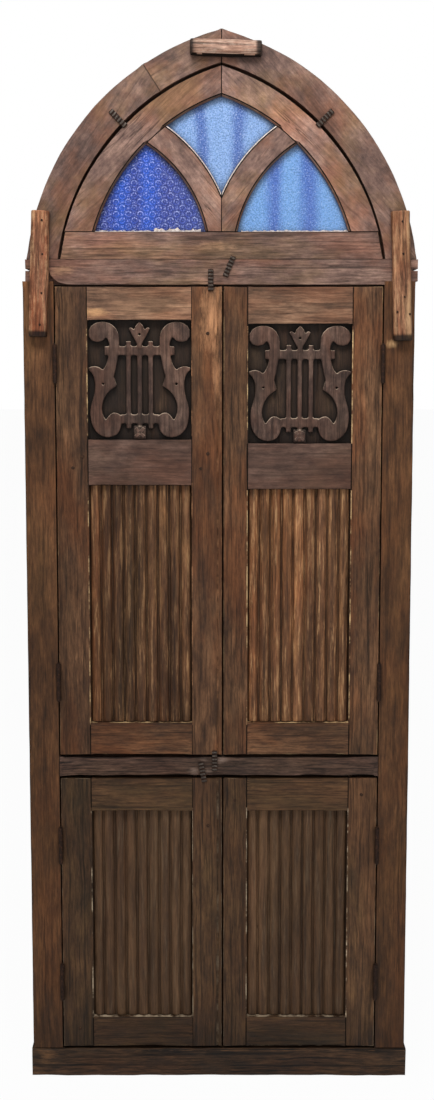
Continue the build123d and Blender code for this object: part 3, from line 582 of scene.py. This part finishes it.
def timber(name, wood, angle, tone, joints=(), arris=1.6, hollow=2.4, step=18, segments=2, openings=(),
           still=None, meets=None, clamp=True):
    # A board in place of a solid. Its fibres run at an angle from level, seen from the front, and its
    # arrises, hollows and steps along the board are in millimetres. Its joints show as lines of grime,
    # but for the heights beside an opening, where the arris is chipped pale. Places that keep still
    # are those the wander of the edges leaves alone, and those that meet another board are joints too.
    piece = copy_of(name, (*wood, grime_and_shade))
    mesh = piece.data
    along = Vector((cos(radians(angle)), 0.0, sin(radians(angle))))

    def touches(spot):
        return lies_on(joints, spot) or bool(meets and meets(spot))

    edit(piece)
    if arris:
        select_arrises(piece, touches, False)
        bpy.ops.mesh.bevel(offset=arris / 1000, segments=segments, affect="EDGES", clamp_overlap=clamp,
                           material=arris_slot)
    if arris and joints:
        select_arrises(piece, touches, True)
        bpy.ops.mesh.bevel(offset=stile_joint if openings else plain_joint, segments=1, affect="EDGES",
                           clamp_overlap=clamp, material=grime_and_shade_slot)
    finish_edit()
    reaches = [along.dot(vertex.co) for vertex in mesh.vertices]
    low, high = min(reaches), max(reaches)
    count = int(1000 * (high - low) / step)
    edit(piece)
    for index in range(1, count):
        bpy.ops.mesh.select_all(action="SELECT")
        bpy.ops.mesh.bisect(plane_co=along * (low + (high - low) * index / count), plane_no=along)
    finish_edit()
    for face in mesh.polygons:
        if face.material_index == grime_and_shade_slot and any(foot < face.center.z < top for foot, top in openings):
            face.material_index = chipped_and_lit_slot
    if hollow:
        free = piece.vertex_groups.new(name="free")
        loose = [vertex.index for vertex in mesh.vertices
                 if not lies_on(joints, vertex.co, 0.0015) and not (still and still(vertex.co))]
        free.add(loose, 1.0, "REPLACE")
        modify(piece, "DISPLACE", texture=wander, strength=hollow / 1000, mid_level=1.0,
               texture_coords="LOCAL", vertex_group="free")
    activate(piece)
    bpy.ops.object.shade_smooth_by_angle(angle=smooth_angle)
    lay_grain(piece, angle, tone)
    stand_in(piece, name)
    return piece


# Places read from the solids, in metres. Frame boards carry a lip 12 mm wide that the leaves shut against
stop_lip = 0.012
opening_half = span("right_jamb", 0)[0] + stop_lip
leaf_edges = (*span("upper_left_hinge_stile", 0)[:1], *span("upper_right_hinge_stile", 0)[1:],
              *span("upper_left_meeting_stile", 0)[1:], *span("upper_right_meeting_stile", 0)[:1])
leaf_front = span("upper_left_hinge_stile", 1)[0]
reed_width = 0.027
apex_x = span("arch_right", 0)[0]
rail_top_z = span("fanlight_rail", 2)[1]
transom_top_z = span("fanlight_rail", 2)[0]
# The arch and the fanlight: the radii of ribs and mullions, and how far their centres lie from the apex line.
# The arch springs 70 mm below the top of the transom
arch_centre_reach, arch_centre_z = 0.1511, transom_top_z - 0.070
rib_inner_radius, rib_outer_radius = 0.4641, 0.5291
mullion_centre_reach, mullion_centre_z = 0.338, transom_top_z
mullion_inner_radius, mullion_outer_radius = 0.308, 0.370


def side_of(spot):
    # The side of the apex line that a place lies on: -1 for left and 1 for right.
    return -1 if spot.x < apex_x else 1


def arch_radius(spot, side):
    # How far a place lies from the centre of the arch on this side, which is across the apex line.
    return hypot(spot.x - apex_x + side * arch_centre_reach, spot.z - arch_centre_z)


def mullion_radius(spot, side):
    # How far a place lies from the centre of the curved mullion on this side.
    return hypot(spot.x - apex_x - side * mullion_centre_reach, spot.z - mullion_centre_z)


def opening_edge(spot):
    # The edges of the jambs beside the leaves.
    return abs(abs(spot.x) - opening_half) < 0.002


def leaf_edge(spot):
    # The hinge edges and the meeting edges of the leaves.
    return any(abs(spot.x - edge) < 0.002 for edge in leaf_edges)


def inside_rib(spot):
    # All of a fanlight rib but its outer edge.
    return arch_radius(spot, side_of(spot)) < rib_outer_radius - 0.0026


def rib_seam(spot):
    # The outer edge of a rib beside the arch, and the ends where the curved mullions meet the ribs.
    from_arch = arch_radius(spot, side_of(spot))
    from_mullion = mullion_radius(spot, side_of(spot))
    at_mullion = mullion_inner_radius - 0.001 < from_mullion < mullion_outer_radius + 0.001
    return from_arch > rib_outer_radius - 0.0011 or (abs(from_arch - rib_inner_radius) < 0.001 and at_mullion)


def near_arch_joint(spot):
    # The two ends that meet in the left half of the arch.
    return lies_on((arch_joint,), spot, 0.003)


def ramp(value, start, end):
    # Goes from 0 at the first end to 1 at the second, whichever is higher.
    return max(0.0, min(1.0, (value - start) / (end - start)))


def rail_tone(spot):
    # The left half of the fanlight's rail is paler.
    return 0.98 + 0.24 * ramp(spot.x, 0.1, -0.1)


def jamb_tone(spot):
    # The jambs are paler towards the top.
    return 0.90 + 0.42 * ramp(spot.z, 0.7, 1.8)


def end_shade(name, level, factor):
    # A cleat is painted darker: an upright one at its foot, as painted shade, and a level one at both ends.
    foot = span(name, 2)[0]
    left, right = span(name, 0)

    def shade(spot):
        away_from_dark_end = ramp(spot.z, foot + 0.013, foot + 0.019)
        if level:
            away_from_dark_end = min(ramp(spot.x, left + 0.009, left + 0.015), ramp(spot.x, right - 0.012, right - 0.018))
        return factor * (0.10 + 0.90 * away_from_dark_end)
    return shade


def reed_shades(edge, factor, shades):
    # A shade for each reed of a panel, counted from its left edge.
    return lambda spot: factor * shades[max(0, min(len(shades) - 1, int((spot.x - edge) / reed_width)))]


def grime_and_shade_line(piece):
    # Turns the outermost strip of each rounded arris at the front black: grime and the painted shade of a
    # groove.
    for face in piece.data.polygons:
        if face.material_index == arris_slot and face.normal.y < -0.9:
            face.material_index = grime_and_shade_slot


def swell(piece, side):
    # A foot of the fanlight has swollen towards the arch, so that the gap beside it is nearly shut.
    foot = piece.vertex_groups.new(name="foot")
    for vertex in piece.data.vertices:
        at_edge = arch_radius(vertex.co, side) > rib_outer_radius - 0.0071
        if at_edge and side * vertex.co.x > 0.1:
            foot.add([vertex.index], ramp(vertex.co.z, 2.24, 2.10), "REPLACE")
    swelling = 0.0028
    modify(piece, "DISPLACE", direction="X", strength=swelling * side, mid_level=0.0, vertex_group="foot")


def light_ledge(rail):
    # The ledge below a panel, like every face of the rail that looks up, gets a painted highlight: the pale
    # chipped finish.
    for face in rail.data.polygons:
        if face.normal.z > 0.3:
            face.material_index = chipped_and_lit_slot


# Joint planes of the frame, in metres: level ones, upright ones, and the sloping joint in the left arch
sill_top, jamb_top = (0, 1, span("sill", 2)[1] - stop_lip), (0, 1, span("left_jamb", 2)[1])
transom_top, rail_top = (0, 1, transom_top_z), (0, 1, rail_top_z)
apex = (1, 0, apex_x)
opening_left, opening_right = (1, 0, -opening_half), (1, 0, opening_half)
slope = radians(123.0)
arch_joint = (-sin(slope), cos(slope),
              -sin(slope) * (apex_x + arch_centre_reach) + cos(slope) * arch_centre_z)

for name, wood, angle, tone, joints, hollow, still in (
    ("left_jamb", jamb_wood, 90, jamb_tone, (sill_top, jamb_top), 3.0, opening_edge),
    ("right_jamb", jamb_wood, 90, jamb_tone, (sill_top, jamb_top), 3.0, opening_edge),
    ("sill", sill_wood, 0, 1.0, (), 4.0, None),
    ("mid_transom", middle_wood, 0, 0.88, (opening_left, opening_right), 7.0, None),
    ("transom", transom_wood, 0, 1.02, (jamb_top, transom_top, opening_left, opening_right), 2.4, None),
    ("fanlight_rail", transom_wood, 0, rail_tone, (transom_top, rail_top), 2.0, None),
    ("arch_left_lower", arch_wood, 54, 0.90, (transom_top,), 3.0, near_arch_joint),
    ("arch_left_upper", arch_wood, 32, 0.90, (apex,), 3.0, near_arch_joint),
    ("arch_right", arch_wood, 131, 0.92, (transom_top, apex), 3.0, None),
    ("fanlight_rib_left", tracery_wood, 43, 1.0, (rail_top, apex), 3.0, inside_rib),
    ("fanlight_rib_right", tracery_wood, 137, 1.3, (rail_top, apex), 3.0, inside_rib),
    ("lower_meeting_post", jamb_wood, 90, 0.8, (), 0, None),
    ("upper_meeting_post", jamb_wood, 90, 0.8, (), 0, None),
):
    if wood is tracery_wood:
        rib = timber(name, wood, angle, tone, joints, 6.0, hollow, segments=3, still=still,
                     meets=rib_seam, clamp=False)
        grime_and_shade_line(rib)
        swell(rib, 1 if "right" in name else -1)
    else:
        timber(name, wood, angle, tone, joints, 1.6, hollow, still=still)
for side in (-1, 1):
    swell(bpy.data.objects["fanlight_rail_dressed"], side)

for side, word, angle in ((-1, "left", 130), (1, "right", 50)):
    # The arris beside the middle light carries a pale line of putty.
    mullion = timber("fanlight_mullion_" + word, tracery_wood, angle, 1.08, (rail_top, apex),
                     6.0, 0, segments=3, meets=rib_seam, clamp=False)
    grime_and_shade_line(mullion)
    mullion.data.materials.append(putty)
    for face in mullion.data.polygons:
        outer = abs(mullion_radius(face.center, side) - mullion_outer_radius) < 0.008
        if face.material_index == arris_slot and -0.9 < face.normal.y < -0.5 and outer:
            face.material_index = putty_slot

for name, wood, angle, level, factor, arris in (
    ("cleat_left", cleat_wood, 88, False, 1.0, 4.5),
    ("cleat_right", cleat_wood, 92, False, 0.80, 4.5),
    ("cleat_top", top_cleat_wood, -1, True, 0.84, 7.0),
):
    cleat = timber(name, wood, angle, end_shade(name, level, factor), arris=arris, hollow=3.5,
                   step=6, segments=3)
    for face in cleat.data.polygons:
        # The underside and the lower part of the arris above it are painted black as shade.
        if face.normal.z < -0.8:
            face.material_index = grime_and_shade_slot


def dress_leaf(leaf, woods, shades, ledge_hollow):
    # The stiles and rails of a leaf, each with its wood and shade. Returns the left edge of its panels.
    side = -1 if "left" in leaf else 1
    inner = side * min(abs(end) for end in span(leaf + "_hinge_stile", 0))
    outer = side * max(abs(end) for end in span(leaf + "_meeting_stile", 0))
    beside, between = (1, 0, inner), (1, 0, outer)
    rails = sorted(span(leaf + "_" + board, 2) for board in woods if board.endswith("rail"))
    openings = [(below[1], above[0]) for below, above in zip(rails, rails[1:])]
    for (board, wood), shade in zip(woods.items(), shades):
        name = leaf + "_" + board
        if board.endswith("stile"):
            joint = beside if board == "hinge_stile" else between
            timber(name, wood, 90, shade, (joint,), openings=openings, still=leaf_edge)
        elif board == "bottom_rail":
            light_ledge(timber(name, wood, 0, shade, (beside, between), hollow=ledge_hollow))
        else:
            timber(name, wood, 0, shade, (beside, between))
    return min(inner, outer)


upper_woods = {"hinge_stile": leaf_wood, "meeting_stile": leaf_wood, "top_rail": head_wood,
               "lock_rail": lock_wood, "bottom_rail": leaf_wood}
lower_woods = dict.fromkeys(("hinge_stile", "meeting_stile", "top_rail", "bottom_rail"), lower_wood)

for leaf, woods, shades, reeds, stripes in (
    ("upper_left", {**upper_woods, "meeting_stile": seam_wood}, (0.80, 0.98, 1.36, 1.0, 0.90), 0.86,
     (1.15, 0.8, 0.85, 0.95, 1.12, 1.0, 0.95, 0.85, 1.15)),
    ("upper_right", upper_woods, (1.14, 0.92, 0.90, 0.98, 1.04), 1.26,
     (1.12, 0.85, 1.0, 0.95, 1.25, 0.82, 1.12, 1.0, 0.9)),
):
    panel_edge = dress_leaf(leaf, woods, shades, 4.0)
    timber(leaf + "_reeded_panel", reed_wood, 90, reed_shades(panel_edge, reeds, stripes),
           arris=0, hollow=1.6)
    timber(leaf + "_lyre_panel", board_wood, 90, 0.60, arris=0, hollow=0, step=100)
for leaf, shades, reeds in (
    ("lower_left", (0.86, 0.98, 1.1, 0.95), 1.06),
    ("lower_right", (1.26, 0.78, 0.90, 0.97), 1.04),
):
    dress_leaf(leaf, lower_woods, shades, 3.5)
    timber(leaf + "_reeded_panel", lower_reed_wood, 90, reeds * 1.12, arris=0, hollow=1.6)


# Lyres: the flat solids rounded over as a carver's knife leaves them

for leaf in ("upper_left", "upper_right"):
    name = leaf + "_lyre"
    lyre = copy_of(name, (carving_wood,))
    modify(lyre, "REMESH", mode="VOXEL", voxel_size=0.0015)
    modify(lyre, "SMOOTH", factor=0.5, iterations=16)
    bpy.ops.object.shade_smooth()
    lay_grain(lyre, 90, 1.05)
    stand_in(lyre, name)


# Rosettes at the feet of the lyres: a square block with four petals, modelled once and copied

block_height, block_depth = 0.030, 0.0115
petal = start_cube("petal", (0.0075, 0.004, 0.012))
bpy.ops.mesh.bevel(offset=0.0015, segments=2, affect="EDGES")
bpy.ops.transform.translate(value=(0.0, -0.0118, 0.0085))
bpy.ops.transform.rotate(value=radians(45.0), orient_axis="Y", center_override=(0.0, 0.0, 0.0))
bpy.ops.mesh.spin(steps=3, dupli=True, angle=1.5 * pi, center=(0.0, 0.0, 0.0), axis=(0.0, 1.0, 0.0))
bpy.ops.mesh.select_all(action="SELECT")
bpy.ops.mesh.remove_doubles(threshold=0.00001)
bpy.ops.mesh.normals_make_consistent(inside=False)
finish_edit()
block = start_cube("block", (0.029, block_depth, block_height))
bpy.ops.transform.translate(value=(0.0, -block_depth / 2, 0.0))
bpy.ops.mesh.bevel(offset=0.0015, segments=2, affect="EDGES")
finish_edit()
activate(block)
petal.select_set(True)
bpy.ops.object.join()
block.data.materials.append(carving_wood)
for leaf in ("upper_left", "upper_right"):
    # The block stands over the middle of the lock rail, 1 mm clear of it. What lies in front of the block
    # is a petal, and paler.
    middle = sum(span(leaf + "_lyre_panel", 0)) / 2
    height = span(leaf + "_lock_rail", 2)[1] + 0.001 + block_height / 2
    board_front = span(leaf + "_lyre_panel", 1)[0]
    petal_level = board_front - block_depth - 0.0002
    rosette = copy_at(block, (middle, board_front, height))
    rosette.name = leaf + "_rosette"
    bpy.ops.object.shade_smooth_by_angle(angle=smooth_angle)
    lay_grain(rosette, 90, lambda spot: 1.25 if spot.y < petal_level else 0.5)
    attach(rosette, leaf + "_leaf")
bpy.data.objects.remove(block)


# Iron, putty and glass keep their solids and get their finish

def finish_node(name, finish):
    # Gives a solid one finish.
    mesh = cad[name].data
    mesh.materials.clear()
    mesh.materials.append(finish)


for name in cad:
    if name.endswith("flaps") or name == "hinge_pins":
        finish_node(name, iron)
for word in ("left", "centre", "right"):
    finish_node("putty_" + word, putty)
finish_node("glass_left", cobalt)
finish_node("glass_centre", pale_blue)
finish_node("glass_right", azure)


# Straps: merged copies with rounded ribs, rubbed bright on the ridges

ridge_depth, rubbed_slot = 0.0006, 1
for name in ("fanlight_straps", "upper_left_straps", "lower_left_strap"):
    ridge = span(name, 1)[0] + ridge_depth
    strap = copy_of(name, (iron, rubbed_iron))
    modify(strap, "BEVEL", width=0.001, segments=2, limit_method="ANGLE", angle_limit=radians(35.0))
    for face in strap.data.polygons:
        if face.center.y < ridge:
            face.material_index = rubbed_slot
    bpy.ops.object.shade_smooth_by_angle(angle=smooth_angle)
    stand_in(strap, name)


# Pegs, nails and hinge screws: each modelled once, then copied to its places and joined body by body

def stud(name, radius, height, front, paint):
    # A round head that looks to the front, with its rim rounded over.
    bpy.ops.object.select_all(action="DESELECT")
    bpy.ops.mesh.primitive_cylinder_add(vertices=16, radius=radius, depth=height, location=(0.0, 0.0, 0.0))
    made = bpy.context.object
    made.name = name
    edit(made)
    bpy.ops.transform.rotate(value=radians(90.0), orient_axis="X", center_override=(0.0, 0.0, 0.0))
    bpy.ops.transform.translate(value=(0.0, front + height / 2, 0.0))
    bpy.ops.mesh.select_all(action="DESELECT")
    shape = bmesh.from_edit_mesh(made.data)
    for edge in shape.edges:
        edge.select_set(all(corner.co.y < front + 0.0001 for corner in edge.verts))
    bmesh.update_edit_mesh(made.data)
    bpy.ops.mesh.bevel(offset=radius * 0.35, segments=2, affect="EDGES")
    finish_edit()
    made.data.materials.append(paint)
    return made


def scatter(model, name, body, places):
    # Copies of the model at their places, joined into one piece that rides with a body.
    copies = [copy_at(model, place) for place in places]
    activate(copies[0])
    for made in copies:
        made.select_set(True)
    bpy.ops.object.join()
    piece = bpy.context.object
    piece.name = name
    bpy.ops.object.shade_smooth_by_angle(angle=smooth_angle)
    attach(piece, body)


# A peg stands 0.2 mm proud of its leaf, a nail ends 0.1 mm short of the front of its cleat's solid. Their
# places are chosen from the photograph
peg = stud("peg", 0.0045, 0.006, leaf_front - 0.0002, peg_oak)
scatter(peg, "upper_left_pegs", "upper_left_leaf", (
    (-0.343, 0, 1.499), (-0.320, 0, 1.525), (-0.043, 0, 1.497), (-0.026, 0, 1.532), (-0.026, 0, 1.812)))
scatter(peg, "lower_left_pegs", "lower_left_leaf", ((-0.026, 0, 0.633), (-0.341, 0, 0.120)))
scatter(peg, "lower_right_pegs", "lower_right_leaf", ((0.038, 0, 0.696), (0.344, 0, 0.710)))
nail = stud("nail", 0.0025, 0.006, span("cleat_top", 1)[0] + 0.0001, iron)
scatter(nail, "cleat_nails", "frame", (
    (-0.406, 0, 2.069), (-0.406, 0, 1.992), (-0.409, 0, 1.904), (-0.414, 0, 1.832), (0.421, 0, 2.066),
    (0.424, 0, 1.993), (0.428, 0, 1.895), (0.412, 0, 1.861), (0.441, 0, 1.856)))


def select_front(piece, half_width, half_height):
    # Selects the faces that look along X and have their middle within these reaches of the axis.
    bpy.ops.mesh.select_mode(type="FACE")
    bpy.ops.mesh.select_all(action="DESELECT")
    shape = bmesh.from_edit_mesh(piece.data)
    for face in shape.faces:
        middle = face.calc_center_median()
        near = abs(middle.y) < half_width and abs(middle.z) < half_height
        face.select_set(face.normal.x > 0.9 and near)
    bmesh.update_edit_mesh(piece.data)


# A slotted hinge screw that looks along X. Its head is a little proud of a flap whose face is at zero, and
# its rim is sunk into the flap
head_radius, head_depth, head_proud, rim_sunk, slot_half = 0.0038, 0.0012, 0.00005, 0.0001, 0.0005
bpy.ops.object.select_all(action="DESELECT")
bpy.ops.mesh.primitive_cylinder_add(
    vertices=16, radius=head_radius, depth=head_depth, location=(0.0, 0.0, 0.0))
screw = bpy.context.object
edit(screw)
bpy.ops.transform.rotate(value=radians(90.0), orient_axis="Y", center_override=(0.0, 0.0, 0.0))
bpy.ops.transform.translate(value=(-rim_sunk - head_depth / 2, 0.0, 0.0))
select_front(screw, head_radius / 2, head_radius / 2)
bpy.ops.mesh.inset(thickness=0.0007)
bpy.ops.transform.translate(value=(rim_sunk + head_proud, 0.0, 0.0))
for height in (-slot_half, slot_half):
    bpy.ops.mesh.select_all(action="SELECT")
    bpy.ops.mesh.bisect(plane_co=(0.0, 0.0, height), plane_no=(0.0, 0.0, 1.0))
select_front(screw, head_radius / 2, slot_half)
bpy.ops.mesh.extrude_region_move(TRANSFORM_OT_translate={"value": (-head_depth / 2, 0.0, 0.0)})
finish_edit()
screw.data.materials.append(rubbed_iron)
turned_screw = copy_at(screw, (0.0, 0.0, 0.0))
edit(turned_screw)
bpy.ops.transform.rotate(value=pi, orient_axis="Z", center_override=(0.0, 0.0, 0.0))
finish_edit()


# The hinges, in metres: the length of a flap, the space between two shut ones, and a zigzag of three screws
# by depth and by height above a hinge's middle
flap_length, flap_space = 0.089, 0.0002
screw_zigzag = ((-0.040, -0.030), (-0.026, 0.0), (-0.040, 0.030))


def flap_places(leaf, shift):
    # The screws of a leaf's two hinges, on the face that lies this far outward of the hinge axis.
    side = -1 if "left" in leaf else 1
    axis = sum(span(leaf + "_hinge_flaps", 0)) / 2
    low, high = span(leaf + "_hinge_flaps", 2)
    middles = (low + flap_length / 2, high - flap_length / 2)
    return [(axis + side * shift, depth, middle + rise) for middle in middles for depth, rise in screw_zigzag]


# Those of the frame look into the opening, those of a leaf look at the jamb
for word, inward, outward in (("left", screw, turned_screw), ("right", turned_screw, screw)):
    upper, lower = "upper_" + word, "lower_" + word
    scatter(inward, word + "_frame_screws", "frame",
            flap_places(upper, flap_space / 2) + flap_places(lower, flap_space / 2))
    for leaf in (upper, lower):
        scatter(outward, leaf + "_screws", leaf + "_leaf", flap_places(leaf, -flap_space / 2))
for model in (peg, nail, screw, turned_screw):
    bpy.data.objects.remove(model)


# Putty squeezed out along the lower edges of the panes

def smear(name, start, end, height):
    # A ragged bead from one place to another along the rail, in millimetres, cut every 3 mm. It lies in
    # front of the glass and starts a little below the top of the rail.
    step, middle_y, sunk = 3, -0.0345, 0.0002
    made = start_cube(name, ((end - start) / 1000, 0.007, height / 1000))
    bpy.ops.transform.translate(value=((start + end) / 2000, middle_y, rail_top_z - sunk + height / 2000))
    for index in range(1, int((end - start) / step)):
        bpy.ops.mesh.select_all(action="SELECT")
        cut = (start + index * step) / 1000
        bpy.ops.mesh.bisect(plane_co=(cut, 0.0, 0.0), plane_no=(1.0, 0.0, 0.0))
    finish_edit()
    made.data.materials.append(putty)
    crumbs = bpy.data.textures.new(name, "CLOUDS")
    crumbs.noise_scale = 0.008
    crest = made.vertex_groups.new(name="crest")
    crest.add([vertex.index for vertex in made.data.vertices if vertex.co.z > rail_top_z], 1.0, "REPLACE")
    modify(made, "DISPLACE", texture=crumbs, direction="Z", strength=height / 500, mid_level=0.65,
           texture_coords="LOCAL", vertex_group="crest")
    bpy.ops.object.shade_smooth_by_angle(angle=radians(50.0))
    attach(made, "frame")


smear("putty_crumbs_left", -150, -42, 9.0)
smear("putty_line_left", -298, -150, 4.0)
smear("putty_line_right", 52, 312, 4.5)
